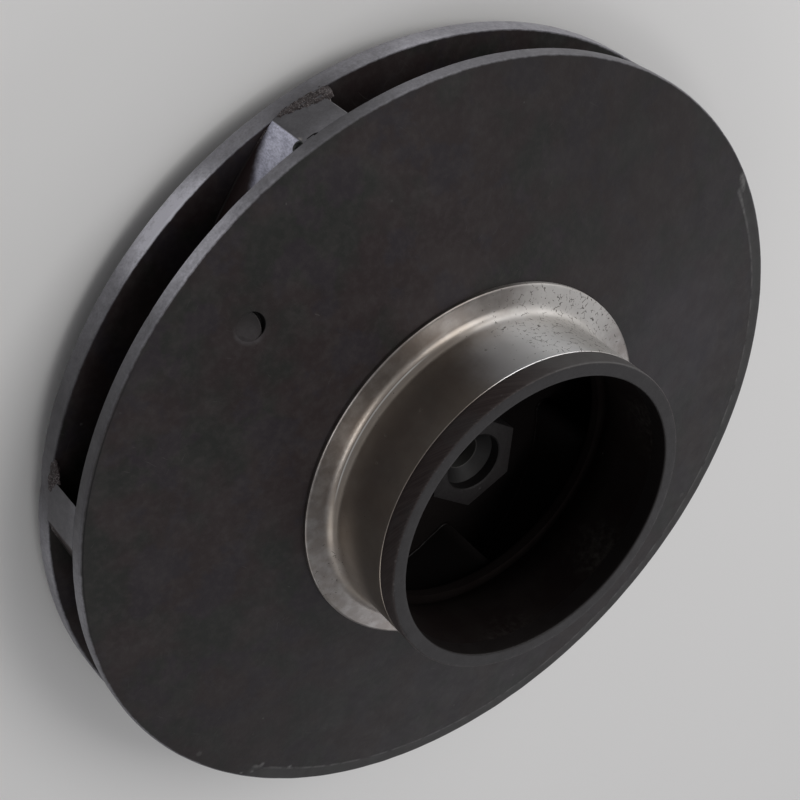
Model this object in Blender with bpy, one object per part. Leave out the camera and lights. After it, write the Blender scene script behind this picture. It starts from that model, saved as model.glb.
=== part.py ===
# Closed pump impeller of black filled plastic with a pressed stainless ring on its eye.
# It lies on its back on a level floor. Metres, +Z along the shaft axis towards the eye,
# +X through the outer end of the first vane.

from math import atan, cos, log, pi, radians, sin, tan

import bmesh
import bpy
from mathutils import Matrix, Vector

# Driving dimensions
DISC_RADIUS = 0.0990
FRONT_EDGE_RADIUS = 0.0985
EYE_RADIUS = 0.0372
REAR_BOSS_HEIGHT = 0.0060
BACK_THICKNESS = 0.0048
PASSAGE_AT_RIM = 0.0122
FRONT_THICKNESS_AT_RIM = 0.0033
CONE_RISE = 0.1367
UNDERSIDE_RISE = 0.1320
RING_SHEET = 0.0008
RING_FLANGE_RADIUS = 0.0477
RING_SLEEVE_RADIUS = 0.04075
RING_FILLET = 0.0032
SLEEVE_END_ABOVE_RIM = 0.0276
LIP_TOP_ABOVE_RIM = 0.0327
NECK_SEAT_ABOVE_RIM = 0.0080
VANE_COUNT = 6
VANE_THICKNESS = 0.0045
VANE_ANGLE = radians(24.0)
VANE_INNER_RADIUS = 0.0415
SHAFT_RADIUS = 0.00795
SHAFT_BORE_DEPTH = 0.0203
SCREW_HOLE_RADIUS = 0.0044
COUNTERBORE_RADIUS = 0.0075
COUNTERBORE_DEPTH = 0.0030
SCREW_SEAT_DEPTH = 0.0052
HEX_ACROSS_FLATS = 0.0221
HEX_CORNER_ANGLE = radians(35.2)
HEX_TOP_ABOVE_RIM = 0.0070
HEX_HEIGHT = 0.0080
HUB_FOOT_RADIUS = 0.0270
HUB_TOP_RADIUS = 0.0142
REAR_BOSS_RADIUS = 0.0190
RECESS_RADIUS = 0.0033
RECESS_DEPTH = 0.0012
RECESS_AT_RADIUS = 0.0796
RECESS_ANGLE = radians(25.1)
BALANCE_CUT_RADIUS = 0.0951
BALANCE_CUT_BELOW_RIM = 0.0001
BALANCE_CUT_FROM = radians(120.8)
BALANCE_CUT_TO = radians(278.8)

# A piece that rests on a curved or sloping neighbour keeps this gap to it
GAP = 0.0003
SEGMENTS = 96

# Levels above the floor
BACK_FACE_Z = REAR_BOSS_HEIGHT
BACK_INNER_Z = BACK_FACE_Z + BACK_THICKNESS
FRONT_INNER_Z = BACK_INNER_Z + PASSAGE_AT_RIM
RIM_Z = FRONT_INNER_Z + FRONT_THICKNESS_AT_RIM
NECK_SEAT_Z = RIM_Z + NECK_SEAT_ABOVE_RIM
LIP_FOOT_Z = RIM_Z + SLEEVE_END_ABOVE_RIM + GAP
LIP_TOP_Z = RIM_Z + LIP_TOP_ABOVE_RIM
HEX_TOP_Z = RIM_Z + HEX_TOP_ABOVE_RIM
HUB_TOP_Z = HEX_TOP_Z - HEX_HEIGHT
SHAFT_END_Z = SHAFT_BORE_DEPTH


def clear_scene():
    for obj in list(bpy.data.objects):
        bpy.data.objects.remove(obj, do_unlink=True)


def plastic(name, colour, roughness):
    return surface(name, colour, roughness, 0.0)


def surface(name, colour, roughness, metallic):
    material = bpy.data.materials.new(name)
    material.use_nodes = True
    shader = material.node_tree.nodes["Principled BSDF"]
    shader.inputs["Base Color"].default_value = (*colour, 1.0)
    shader.inputs["Roughness"].default_value = roughness
    shader.inputs["Metallic"].default_value = metallic
    return material


def finish(bm, name, material):
    """The closed mesh as a named object, shaded smooth with its edges kept."""
    bmesh.ops.recalc_face_normals(bm, faces=bm.faces)
    mesh = bpy.data.meshes.new(name)
    bm.to_mesh(mesh)
    bm.free()
    mesh.shade_smooth()
    mesh.set_sharp_from_angle(angle=radians(30))
    obj = bpy.data.objects.new(name, mesh)
    bpy.context.collection.objects.link(obj)
    if material:
        mesh.materials.append(material)
    return obj


def arc(centre, radius, start, end, steps):
    """Points of an arc in the profile plane, from one angle to the other."""
    points = []
    for i in range(steps + 1):
        angle = start + (end - start) * i / steps
        points.append((centre[0] + radius * cos(angle), centre[1] + radius * sin(angle)))
    return points


def turned(name, profile, material, segments=SEGMENTS):
    """A closed profile of (radius, height) points turned about the shaft axis."""
    bm = bmesh.new()
    ring = [bm.verts.new((radius, 0, z)) for radius, z in profile]
    edges = [bm.edges.new((ring[i - 1], ring[i])) for i in range(len(ring))]
    bmesh.ops.spin(
        bm,
        geom=ring + edges,
        cent=(0, 0, 0),
        axis=(0, 0, 1),
        angle=2 * pi,
        steps=segments,
        use_merge=True,
    )
    return finish(bm, name, material)


def cut(obj, cutter, operation="DIFFERENCE"):
    modifier = obj.modifiers.new("cut", "BOOLEAN")
    modifier.operation = operation
    modifier.solver = "EXACT"
    modifier.object = cutter
    cutter.hide_render = True
    cutter.display_type = "WIRE"


def cone_z(radius):
    """Height of the front shroud's outer face."""
    return RIM_Z + (FRONT_EDGE_RADIUS - radius) * CONE_RISE


def underside_z(radius):
    """Height of the front shroud's inner face."""
    return FRONT_INNER_Z + (DISC_RADIUS - radius) * UNDERSIDE_RISE


def front_shroud(material):
    """Shallow cone from the rim up to the seat of the neck, rounded into the eye."""
    rounding = DISC_RADIUS - FRONT_EDGE_RADIUS
    seat_radius = FRONT_EDGE_RADIUS - NECK_SEAT_ABOVE_RIM / CONE_RISE
    corner = 0.0012
    corner_z = underside_z(EYE_RADIUS + corner) + corner
    profile = [(DISC_RADIUS, FRONT_INNER_Z)]
    profile += arc((FRONT_EDGE_RADIUS, RIM_Z - rounding), rounding, 0, pi / 2, 3)
    profile.append((seat_radius, NECK_SEAT_Z))
    profile.append((EYE_RADIUS, NECK_SEAT_Z))
    profile += arc((EYE_RADIUS + corner, corner_z), corner, pi, 1.5 * pi, 3)
    shroud = turned("front_shroud", profile, material)
    cut(shroud, recess_cutter())
    cut(shroud, balance_cutter())
    return shroud


def recess_cutter():
    """Blind round pocket in the front face."""
    bm = bmesh.new()
    floor_z = cone_z(RECESS_AT_RADIUS) - RECESS_DEPTH
    height = 4 * RECESS_DEPTH
    bmesh.ops.create_cone(
        bm,
        cap_ends=True,
        segments=24,
        radius1=RECESS_RADIUS,
        radius2=RECESS_RADIUS,
        depth=height,
    )
    bmesh.ops.translate(bm, vec=(0, 0, height / 2), verts=bm.verts)
    cutter = finish(bm, "recess_cutter", None)
    cutter.location = (
        RECESS_AT_RADIUS * cos(RECESS_ANGLE),
        RECESS_AT_RADIUS * sin(RECESS_ANGLE),
        floor_z,
    )
    cutter.rotation_euler = (0, atan(CONE_RISE), RECESS_ANGLE)
    return cutter


def balance_cutter():
    """Flat step milled along the edge of the front face on one side, for balance."""
    bm = bmesh.new()
    floor_z = RIM_Z - BALANCE_CUT_BELOW_RIM
    beyond = 0.003
    outline = [
        (BALANCE_CUT_RADIUS, floor_z),
        (DISC_RADIUS + beyond, floor_z),
        (DISC_RADIUS + beyond, floor_z + beyond),
        (BALANCE_CUT_RADIUS, floor_z + beyond),
    ]
    verts = [bm.verts.new((radius, 0, z)) for radius, z in outline]
    face = bm.faces.new(verts)
    bmesh.ops.rotate(
        bm,
        cent=(0, 0, 0),
        matrix=Matrix.Rotation(BALANCE_CUT_FROM, 3, "Z"),
        verts=verts,
    )
    bmesh.ops.spin(
        bm,
        geom=verts + list(face.edges) + [face],
        cent=(0, 0, 0),
        axis=(0, 0, 1),
        angle=BALANCE_CUT_TO - BALANCE_CUT_FROM,
        steps=48,
    )
    return finish(bm, "balance_cutter", None)


def eye_neck(material):
    """Tube of the eye that the stainless ring is pressed over."""
    outer = RING_SLEEVE_RADIUS - RING_SHEET - GAP
    profile = [
        (outer, NECK_SEAT_Z),
        (outer, LIP_FOOT_Z),
        (EYE_RADIUS, LIP_FOOT_Z),
        (EYE_RADIUS, NECK_SEAT_Z),
    ]
    return turned("eye_neck", profile, material)


def eye_lip(material):
    """Thick end of the neck beyond the ring, with rounded edges."""
    rounding = 0.0004
    outer = RING_SLEEVE_RADIUS
    profile = [(outer, LIP_FOOT_Z)]
    profile += arc((outer - rounding, LIP_TOP_Z - rounding), rounding, 0, pi / 2, 3)
    profile += arc((EYE_RADIUS + rounding, LIP_TOP_Z - rounding), rounding, pi / 2, pi, 3)
    profile.append((EYE_RADIUS, LIP_FOOT_Z))
    return turned("eye_lip", profile, material)


def wear_ring(material):
    """Pressed sheet ring: a flange on the cone, a fillet and a sleeve on the neck."""
    slope = atan(CONE_RISE)
    lift = GAP + RING_SHEET / cos(slope)
    inner = RING_SLEEVE_RADIUS - RING_SHEET
    centre_radius = RING_SLEEVE_RADIUS + RING_FILLET
    centre_z = cone_z(centre_radius) + lift + RING_FILLET / cos(slope)
    centre = (centre_radius, centre_z)
    end_z = RIM_Z + SLEEVE_END_ABOVE_RIM
    profile = [(inner, end_z), (RING_SLEEVE_RADIUS, end_z)]
    profile += arc(centre, RING_FILLET, pi, 1.5 * pi - slope, 6)
    profile.append((RING_FLANGE_RADIUS, cone_z(RING_FLANGE_RADIUS) + lift))
    profile.append((RING_FLANGE_RADIUS, cone_z(RING_FLANGE_RADIUS) + GAP))
    profile += arc(centre, RING_FILLET + RING_SHEET, 1.5 * pi - slope, pi, 6)
    return turned("wear_ring", profile, material)


def back_shroud(material):
    """Flat disc behind the vanes, bored for the shaft."""
    bevel = 0.0003
    profile = [
        (SHAFT_RADIUS, BACK_FACE_Z),
        (DISC_RADIUS - bevel, BACK_FACE_Z),
        (DISC_RADIUS, BACK_FACE_Z + bevel),
        (DISC_RADIUS, BACK_INNER_Z),
        (SHAFT_RADIUS, BACK_INNER_Z),
    ]
    return turned("back_shroud", profile, material)


def hub(material):
    """Concave hub that turns the flow outwards, bored from behind for the shaft."""
    steps = 8
    profile = [(SHAFT_RADIUS, BACK_INNER_Z), (HUB_FOOT_RADIUS, BACK_INNER_Z)]
    height = HUB_TOP_Z - BACK_INNER_Z
    width = HUB_FOOT_RADIUS - HUB_TOP_RADIUS
    for i in range(1, steps + 1):
        turn = 0.5 * pi * i / steps
        profile.append((HUB_FOOT_RADIUS - width * sin(turn), HUB_TOP_Z - height * cos(turn)))
    profile += [
        (SCREW_HOLE_RADIUS, HUB_TOP_Z),
        (SCREW_HOLE_RADIUS, SHAFT_END_Z),
        (SHAFT_RADIUS, SHAFT_END_Z),
    ]
    return turned("hub", profile, material)


def hex_nose(material):
    """Hexagon for a spanner on the hub's end, counterbored for the retaining screw."""
    bm = bmesh.new()
    bmesh.ops.create_cone(
        bm,
        cap_ends=True,
        segments=6,
        radius1=HEX_ACROSS_FLATS / 2 / cos(pi / 6),
        radius2=HEX_ACROSS_FLATS / 2 / cos(pi / 6),
        depth=HEX_HEIGHT,
    )
    first_corner = pi / 2
    bmesh.ops.rotate(
        bm,
        cent=(0, 0, 0),
        matrix=Matrix.Rotation(HEX_CORNER_ANGLE - first_corner, 3, "Z"),
        verts=bm.verts,
    )
    bmesh.ops.translate(bm, vec=(0, 0, HUB_TOP_Z + HEX_HEIGHT / 2), verts=bm.verts)
    nose = finish(bm, "hex_nose", material)
    beyond = 0.002
    near_axis = 0.001
    bore = [
        (near_axis, HUB_TOP_Z - beyond),
        (SCREW_HOLE_RADIUS, HUB_TOP_Z - beyond),
        (SCREW_HOLE_RADIUS, HEX_TOP_Z - SCREW_SEAT_DEPTH),
        (COUNTERBORE_RADIUS, HEX_TOP_Z - COUNTERBORE_DEPTH),
        (COUNTERBORE_RADIUS, HEX_TOP_Z + beyond),
        (near_axis, HEX_TOP_Z + beyond),
    ]
    cut(nose, solid_turned("bore_cutter", bore))
    return nose


def solid_turned(name, profile):
    """Like turned, with the small hole that is left on the axis filled."""
    bm = bmesh.new()
    ring = [bm.verts.new((radius, 0, z)) for radius, z in profile]
    edges = [bm.edges.new((ring[i], ring[i + 1])) for i in range(len(ring) - 1)]
    bmesh.ops.spin(
        bm,
        geom=ring + edges,
        cent=(0, 0, 0),
        axis=(0, 0, 1),
        angle=2 * pi,
        steps=48,
        use_merge=True,
    )
    bmesh.ops.holes_fill(bm, edges=[e for e in bm.edges if e.is_boundary], sides=0)
    return finish(bm, name, None)


def rear_boss(material):
    """Boss behind the back shroud that the impeller stands on, with a bevelled edge."""
    bevel = 0.0010
    profile = [
        (SHAFT_RADIUS, 0),
        (REAR_BOSS_RADIUS - bevel, 0),
        (REAR_BOSS_RADIUS, bevel),
        (REAR_BOSS_RADIUS, BACK_FACE_Z),
        (SHAFT_RADIUS, BACK_FACE_Z),
    ]
    return turned("rear_boss", profile, material)


def spiral_point(radius, side):
    """Point beside the vane's centre line, which is an equiangular spiral."""
    angle = log(DISC_RADIUS / radius) / tan(VANE_ANGLE)
    radial = Vector((cos(angle), sin(angle), 0))
    around = Vector((-sin(angle), cos(angle), 0))
    outward = radial * cos(VANE_ANGLE) + around * sin(VANE_ANGLE)
    return radial * radius + outward * side


def vane_outline():
    """Both sides of the vane, with a round nose at the eye."""
    steps = 22
    nose_steps = 6
    half = VANE_THICKNESS / 2
    beyond_rim = 1.06
    outermost = DISC_RADIUS * beyond_rim
    growth = outermost / VANE_INNER_RADIUS
    radii = [VANE_INNER_RADIUS * growth ** (i / steps) for i in range(steps + 1)]
    outer_side = [spiral_point(radius, half) for radius in radii]
    inner_side = [spiral_point(radius, -half) for radius in radii]
    nose = []
    centre = spiral_point(VANE_INNER_RADIUS, 0)
    arm = outer_side[0] - centre
    for i in range(1, nose_steps):
        nose.append(centre + Matrix.Rotation(i * pi / nose_steps, 3, "Z") @ arm)
    return nose + inner_side + outer_side[::-1]


def passage_envelope():
    """The space between the two shrouds, which every vane is trimmed to."""
    rim = DISC_RADIUS
    inner = 0.75 * VANE_INNER_RADIUS
    profile = [
        (inner, BACK_INNER_Z),
        (rim, BACK_INNER_Z),
        (rim, underside_z(rim) - GAP),
        (inner, underside_z(inner) - GAP),
    ]
    return turned("passage_envelope", profile, None)


def vanes(material):
    """Six backward-curved vanes, flush with the rims at their outer ends."""
    envelope = passage_envelope()
    outline = vane_outline()
    foot_z = BACK_INNER_Z - 0.002
    top_z = NECK_SEAT_Z + 0.006
    for number in range(VANE_COUNT):
        bm = bmesh.new()
        face = bm.faces.new([bm.verts.new((p.x, p.y, foot_z)) for p in outline])
        made = bmesh.ops.extrude_face_region(bm, geom=[face])
        raised = [item for item in made["geom"] if isinstance(item, bmesh.types.BMVert)]
        bmesh.ops.translate(bm, vec=(0, 0, top_z - foot_z), verts=raised)
        bmesh.ops.rotate(
            bm,
            cent=(0, 0, 0),
            matrix=Matrix.Rotation(number * 2 * pi / VANE_COUNT, 3, "Z"),
            verts=bm.verts,
        )
        vane = finish(bm, f"vane_{number + 1}", material)
        cut(vane, envelope, "INTERSECT")


def build():
    clear_scene()
    body = plastic("black_plastic", (0.030, 0.028, 0.029), 0.55)
    machined = plastic("turned_plastic", (0.075, 0.073, 0.078), 0.50)
    steel = surface("stainless", (0.46, 0.43, 0.41), 0.38, 1.0)
    front_shroud(body)
    eye_neck(body)
    eye_lip(machined)
    wear_ring(steel)
    back_shroud(body)
    hub(body)
    hex_nose(machined)
    rear_boss(body)
    vanes(machined)


build()
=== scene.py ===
# Closed pump impeller of black fibre-filled plastic with a pressed stainless ring on its eye.
# It lies on its back on a pale floor. Metres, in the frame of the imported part: +Z along the
# shaft axis towards the eye, +X through the outer end of the first vane, floor at z = 0.

from math import atan, cos, exp, hypot, log, pi, radians, sin, tan

import bmesh
import bpy
from mathutils import Matrix, Vector, noise


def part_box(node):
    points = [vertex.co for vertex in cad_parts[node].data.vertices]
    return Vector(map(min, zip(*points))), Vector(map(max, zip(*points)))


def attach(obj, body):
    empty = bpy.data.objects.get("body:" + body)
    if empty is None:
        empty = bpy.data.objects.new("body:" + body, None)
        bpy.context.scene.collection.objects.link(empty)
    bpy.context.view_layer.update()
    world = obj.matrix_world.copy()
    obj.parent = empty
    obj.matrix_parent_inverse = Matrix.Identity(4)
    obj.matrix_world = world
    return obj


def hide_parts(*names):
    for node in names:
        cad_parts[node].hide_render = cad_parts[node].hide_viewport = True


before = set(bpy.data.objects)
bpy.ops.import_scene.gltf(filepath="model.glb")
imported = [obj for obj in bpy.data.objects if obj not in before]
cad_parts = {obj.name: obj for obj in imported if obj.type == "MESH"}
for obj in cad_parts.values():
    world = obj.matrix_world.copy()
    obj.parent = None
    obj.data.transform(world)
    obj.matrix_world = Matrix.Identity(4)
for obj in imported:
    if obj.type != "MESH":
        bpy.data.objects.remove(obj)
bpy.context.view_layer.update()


# Back shroud: a flat disc moulded in black plastic that is filled with short pale fibres.
# The rim is turned after welding, which lays the fibres bare. A knock has dented it beside
# the second vane, and a burr stands on its inner edge beside the first.

back_low, back_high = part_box("back_shroud")
DISC_RADIUS = back_high.x
BACK_FACE_Z = back_low.z
BACK_INNER_Z = back_high.z
RIMS_MIDDLE_Z = 0.5 * BACK_INNER_Z + 0.012
SHAFT_RADIUS = 0.00795
RIM_STEPS = 720

WARM_BLACK = (0.0205, 0.0134, 0.0138)
GREEN_BLACK = (0.0138, 0.0146, 0.0128)
VIOLET_BLACK = (0.0182, 0.014, 0.0176)
DUST = (0.048, 0.0415, 0.041)
# Painted shade deep in the passages and on the vanes' sides.
PASSAGE_SHADE = (0.024, 0.012, 0.0112)
EYE_DARK = (0.0046, 0.0024, 0.0022)
FIBRE_DARK = (0.038, 0.036, 0.038)
FIBRE_PALE = (0.65, 0.645, 0.71)


class Signal:
    """A value, colour or direction between two nodes. Sums and products add Math nodes."""

    def __init__(self, socket):
        self.socket = socket

    def node(self, kind, settings, sockets, output=0):
        """Adds a node: its settings are set first, then its sockets get values or links."""
        tree = self.socket.id_data
        made = tree.nodes.new(kind)
        for key, value in settings.items():
            setattr(made, key, value)
        for key, value in sockets.items():
            target = made.inputs[key]
            if isinstance(value, Signal):
                tree.links.new(value.socket, target)
            elif target.type == "RGBA":
                target.default_value = (*value, 1.0)
            else:
                target.default_value = value
        return Signal(made.outputs[output])

    def into(self, shader, socket):
        """Feeds a socket of the material's shader."""
        self.socket.id_data.links.new(self.socket, shader.inputs[socket])

    def math(self, operation, first, second):
        return self.node("ShaderNodeMath", {"operation": operation}, {0: first, 1: second})

    def vector(self, operation, other, output=0):
        return self.node("ShaderNodeVectorMath", {"operation": operation}, {0: self, 1: other}, output)

    def __add__(self, other):
        return self.math("ADD", self, other)

    def __sub__(self, other):
        return self.math("SUBTRACT", self, other)

    def __rsub__(self, other):
        return self.math("SUBTRACT", other, self)

    def __mul__(self, other):
        return self.math("MULTIPLY", self, other)

    __radd__ = __add__
    __rmul__ = __mul__


def new_finish(name, gloss=0.5, roughness=0.5):
    """A material, its shader, and the place on the part in metres."""
    material = bpy.data.materials.new(name)
    material.use_nodes = True
    nodes = material.node_tree.nodes
    shader = nodes["Principled BSDF"]
    shader.inputs["Specular IOR Level"].default_value = gloss
    shader.inputs["Roughness"].default_value = roughness
    place = nodes.new("ShaderNodeTexCoord").outputs["Object"]
    return material, shader, Signal(place)


def grain(place, size, detail=3.0, stretch=(1, 1, 1), offset=0.0):
    """Noise around 0.5 in patches of about that size, drawn out along the stretched axes."""
    scale = tuple(1 / (size * s) for s in stretch)
    sockets = {"Vector": place, "Location": (offset,) * 3, "Scale": scale}
    spread = place.node("ShaderNodeMapping", {}, sockets)
    sockets = {"Vector": spread, "Scale": 1.0, "Detail": detail, "Roughness": 0.6}
    return place.node("ShaderNodeTexNoise", {}, sockets, "Fac")


def step(value, low, high):
    """0 below low, 1 above high, and smooth between them."""
    sockets = {"Value": value, "From Min": low, "From Max": high}
    return value.node("ShaderNodeMapRange", {"interpolation_type": "SMOOTHSTEP"}, sockets)


def mix(share, first, second):
    """The first colour where share is 0, the second where it is 1."""
    return share.node("ShaderNodeMix", {"data_type": "RGBA"}, {0: share, 6: first, 7: second}, 2)


def away(place, point):
    """Distance in metres from a point of the part."""
    return place.vector("DISTANCE", point, "Value")


def within(place, point, inner, outer, ragged=0.0):
    """1 around a point of the part, fading to 0 between two distances from it."""
    return 1 - step(away(place, point) + ragged, inner, outer)


def level(place):
    """The place brought down to the floor."""
    return place.vector("MULTIPLY", (1, 1, 0))


def from_axis(place):
    """Distance in metres from the shaft axis."""
    return away(level(place), (0, 0, 0))


def coordinate(place, axis):
    """The X, Y or Z of the place in metres."""
    return place.node("ShaderNodeSeparateXYZ", {}, {"Vector": place}, axis)


def polar(radius, degrees, height):
    """A point by its radius, its angle and its height."""
    return (radius * cos(radians(degrees)), radius * sin(radians(degrees)), height)


def beside(place, degrees, reach):
    """1 at a place on the rim, fading to 0 at that distance from it."""
    return within(place, polar(DISC_RADIUS, degrees, RIMS_MIDDLE_Z), 0.2 * reach, reach)


def specks(place, size, share):
    """Small specks in that share of the cells of a pattern, 1 inside them."""
    sockets = {"Vector": place, "Scale": 1 / size}
    cells = place.node("ShaderNodeTexVoronoi", {}, sockets, "Distance")
    chance = Signal(cells.socket.node.outputs["Color"])
    chance = chance.node("ShaderNodeSeparateColor", {}, {"Color": chance})
    ragged = cells + 0.1 * grain(place, 0.15 * size, 2.0)
    return step(chance, 1 - share, 1 - share + 0.02) * (1 - step(ragged, 0.1, 0.19))


def rotated(place, angle):
    """The place turned about the shaft axis, which slants a pattern."""
    sockets = {"Vector": place, "Angle": angle}
    return place.node("ShaderNodeVectorRotate", {"rotation_type": "Z_AXIS"}, sockets)


def scratches(place, length, width, heading, share, offset=0.0):
    """Thin marks near a heading in the plane of the disc, slightly bent, in patches."""
    bend = 1.2 * grain(place, 2.2 * length, 2.0, offset=offset + 2) - 0.6
    slanted = rotated(place, bend * 0.12 - heading)
    lines = grain(slanted, width, 1.0, (length / width, 1, 2), offset)
    patches = step(grain(place, 3 * length, 2.0, offset=offset + 1), 0.5, 0.64)
    return step(lines, 1 - share, 1.04 - share) * patches


def fibres(place, tone):
    """Colour where a tool has laid the fibres bare: tone 0 is dirty, 1 bleached; on the rims the tone
    also carries painted highlight and shade.
    """
    streaks = 0.6 * grain(place, 0.0006, 3.0) + 0.6 * grain(place, 0.002, 3.0, offset=3.0)
    return mix(tone * (0.07 + 1.1 * streaks), FIBRE_DARK, FIBRE_PALE)


def skin(place):
    """Colour of the moulded skin: clouds of warm, green and violet black under thin dust."""
    colour = mix(step(grain(place, 0.024, 3.0), 0.44, 0.58), WARM_BLACK, GREEN_BLACK)
    colour = mix(step(grain(place, 0.011, 4.0, offset=5.0), 0.5, 0.6), colour, VIOLET_BLACK)
    cloud = step(grain(place, 0.009, 6.0, offset=9.0), 0.42, 0.66)
    fine = step(grain(place, 0.0018, 5.0, offset=2.0), 0.4, 0.7)
    return mix(0.24 * cloud + 0.26 * fine, colour, DUST)


def eye_shade(place, colour):
    """Nearly black where the passages open into the eye."""
    return mix(1 - step(from_axis(place), 0.058, 0.078), colour, EYE_DARK)


def emboss(shader, height, depth):
    """Raises the surface where height is 1, by that depth in metres."""
    sockets = {"Height": height, "Distance": depth, "Strength": 0.8}
    height.node("ShaderNodeBump", {}, sockets).into(shader, "Normal")


def moulded(name, paint, roughness=0.52, gloss=0.3, dull_radius=0.0):
    """Black plastic; paint(place, colour) colours what is worn, turned or dirty, and lays on painted
    light and shade. Inside dull_radius a film of silt takes its shine."""
    material, shader, place = new_finish(name, gloss)
    marks = scratches(place, 0.009, 0.00026, 0.6, 0.27)
    marks = marks + scratches(place, 0.007, 0.00022, 2.2, 0.27, 4.0)
    dots = specks(place, 0.0034, 0.03) + specks(place, 0.008, 0.05) * 0.8
    holes = specks(place + 0.0137, 0.0028, 0.03)
    colour = mix(marks * 0.3 + dots * 0.6, skin(place), (0.115, 0.108, 0.105))
    paint(place, mix(holes * 0.7, colour, (0.004, 0.0035, 0.0035))).into(shader, "Base Color")
    pores = grain(place, 0.0006, 4.0) * 0.5 + grain(place, 0.0035, 2.0) * 0.8 - marks * 0.15 - holes
    emboss(shader, pores, 0.00006)
    dull = 1 - step(from_axis(place), dull_radius, dull_radius + 0.004)
    (roughness - 0.1 + 0.2 * grain(place, 0.005, 5.0) + 0.45 * dull).into(shader, "Roughness")
    return material


def shaped(name, bm, finish, sharp=35.0):
    """A piece from a bmesh, smooth but for edges that turn by more than sharp."""
    bmesh.ops.recalc_face_normals(bm, faces=bm.faces)
    mesh = bpy.data.meshes.new(name)
    bm.to_mesh(mesh)
    bm.free()
    mesh.materials.append(finish)
    mesh.shade_smooth()
    mesh.set_sharp_from_angle(angle=radians(sharp))
    piece = bpy.data.objects.new(name, mesh)
    bpy.context.scene.collection.objects.link(piece)
    return piece


def joined(bm, rows, closed=False):
    """Faces between neighbouring loops of points. Open ends are capped."""
    for i in range(0 if closed else 1, len(rows)):
        for j in range(len(rows[0])):
            bm.faces.new((rows[i - 1][j - 1], rows[i][j - 1], rows[i][j], rows[i - 1][j]))
    if not closed:
        bm.faces.new(rows[0])
        bm.faces.new(rows[-1])


def lathe(name, section, steps, finish):
    """A closed section, (radius, height) points that depend on the angle, turned round."""
    bm = bmesh.new()
    rows = []
    for i in range(steps):
        angle = 2 * pi * i / steps
        rows.append([bm.verts.new((r * cos(angle), r * sin(angle), z)) for r, z in section(angle)])
    joined(bm, rows, closed=True)
    return shaped(name, bm, finish)


def spaced(start, end, count):
    """Points on a straight stretch of a section, without its end."""
    return [tuple(a + (b - a) * i / count for a, b in zip(start, end)) for i in range(count)]


def arc(centre, radius, start, end, count):
    """Points on a round stretch of a section, with both ends."""
    angles = [radians(start + (end - start) * i / count) for i in range(count + 1)]
    return [(centre[0] + radius * cos(a), centre[1] + radius * sin(a)) for a in angles]


def ripple(angle, waves, seed):
    """Smooth noise from -1 to 1 with about that many waves a turn."""
    spread = waves / 6
    return noise.noise(Vector((spread * cos(angle), spread * sin(angle), seed)))


def near(angle, degrees, width):
    """1 at a place on the rim, fading to 0 at about that many degrees from it."""
    off = (angle - radians(degrees) + pi) % (2 * pi) - pi
    return exp(-((2 * off / radians(width)) ** 2))


def rim_share(place):
    """1 on the turned rim, with an uneven border."""
    ragged = from_axis(place) + 0.0005 * grain(place, 0.0018)
    return step(ragged, DISC_RADIUS - 0.0004, DISC_RADIUS + 0.0001)


def rim_tone_and_highlight(place):
    """Tone of the turned rim: bared fibres with painted highlight and shade laid on them, brightest
    beside the first vane and darker between it and the second.
    """
    front = step(coordinate(place, "Z"), BACK_INNER_Z, BACK_INNER_Z + 0.002)
    tone = 0.24 + 0.16 * grain(place, 0.009, 4.0) + (0.07 - 0.19 * front) * beside(place, -36, 0.045)
    tone = tone + 0.3 * beside(place, -18, 0.014) * (1 - 0.9 * front) - 0.24 * beside(place, -1, 0.019)
    # Painted highlight: the bright bump at 21 degrees; the back rim is also painted lighter than the
    # front.
    tone = tone + (1.1 - 0.42 * front) * beside(place, 21, 0.02) - 0.24 * beside(place, 50, 0.042)
    tone = tone + 0.16 * beside(place, 70, 0.016) - 0.04 * beside(place, 57, 0.008)
    return tone * (1.3 - 0.3 * front)


def back_paint(place, colour):
    """Painted shade in the passages and under the eye, turned fibres on the rim."""
    deep = 1 - step(from_axis(place), 0.07, 0.094)
    colour = eye_shade(place, mix(deep * 0.8, colour, PASSAGE_SHADE))
    return mix(rim_share(place), colour, fibres(place, rim_tone_and_highlight(place)))


def back_shroud_section(angle):
    """A thin disc with a dented rim, a rounded outer edge and a chipped, burred inner one."""
    dent = 0.00028 * near(angle, 59.6, 5.0) + 0.00012 * near(angle, 66.0, 3.0)
    rim = DISC_RADIUS - dent + 0.00003 * ripple(angle, 40, 1.0)
    edge = 0.0003 + 0.00012 * ripple(angle, 200, 2.0)
    burr = 0.0003 * near(angle, 21.0, 4.5) * (0.7 + ripple(angle, 300, 3.0))
    chip = 0.00016 + 0.00022 * max(0, ripple(angle, 260, 4.0) - 0.2)
    low, high = BACK_FACE_Z, BACK_INNER_Z
    inner = [(rim - chip, high + burr), (rim - 0.0012, high)]
    section = spaced((SHAFT_RADIUS, low), (rim - edge - 0.0004, low), 8)
    section += [(rim - edge - 0.0004, low)]
    section += arc((rim - edge, low + edge), edge, -90, 0, 3)
    section += [(rim, low + 0.002), (rim + 0.5 * burr, high - chip)]
    return section + inner + spaced((rim - 0.0016, high), (SHAFT_RADIUS, high), 8)


black_rimmed = moulded("black_plastic_turned_rim", back_paint, dull_radius=0.06)
back_shroud = lathe("back_disc", back_shroud_section, RIM_STEPS, black_rimmed)
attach(back_shroud, "root")
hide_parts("back_shroud")


# Rear boss: a short boss in one with the back disc, faced and chamfered. The seal runs
# against it and the motor shaft enters its bore. The photograph doesn't show this side.

BOSS_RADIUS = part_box("rear_boss")[1].x
BOSS_EDGE = 0.001
BORE_CHAMFER = 0.0006


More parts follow.
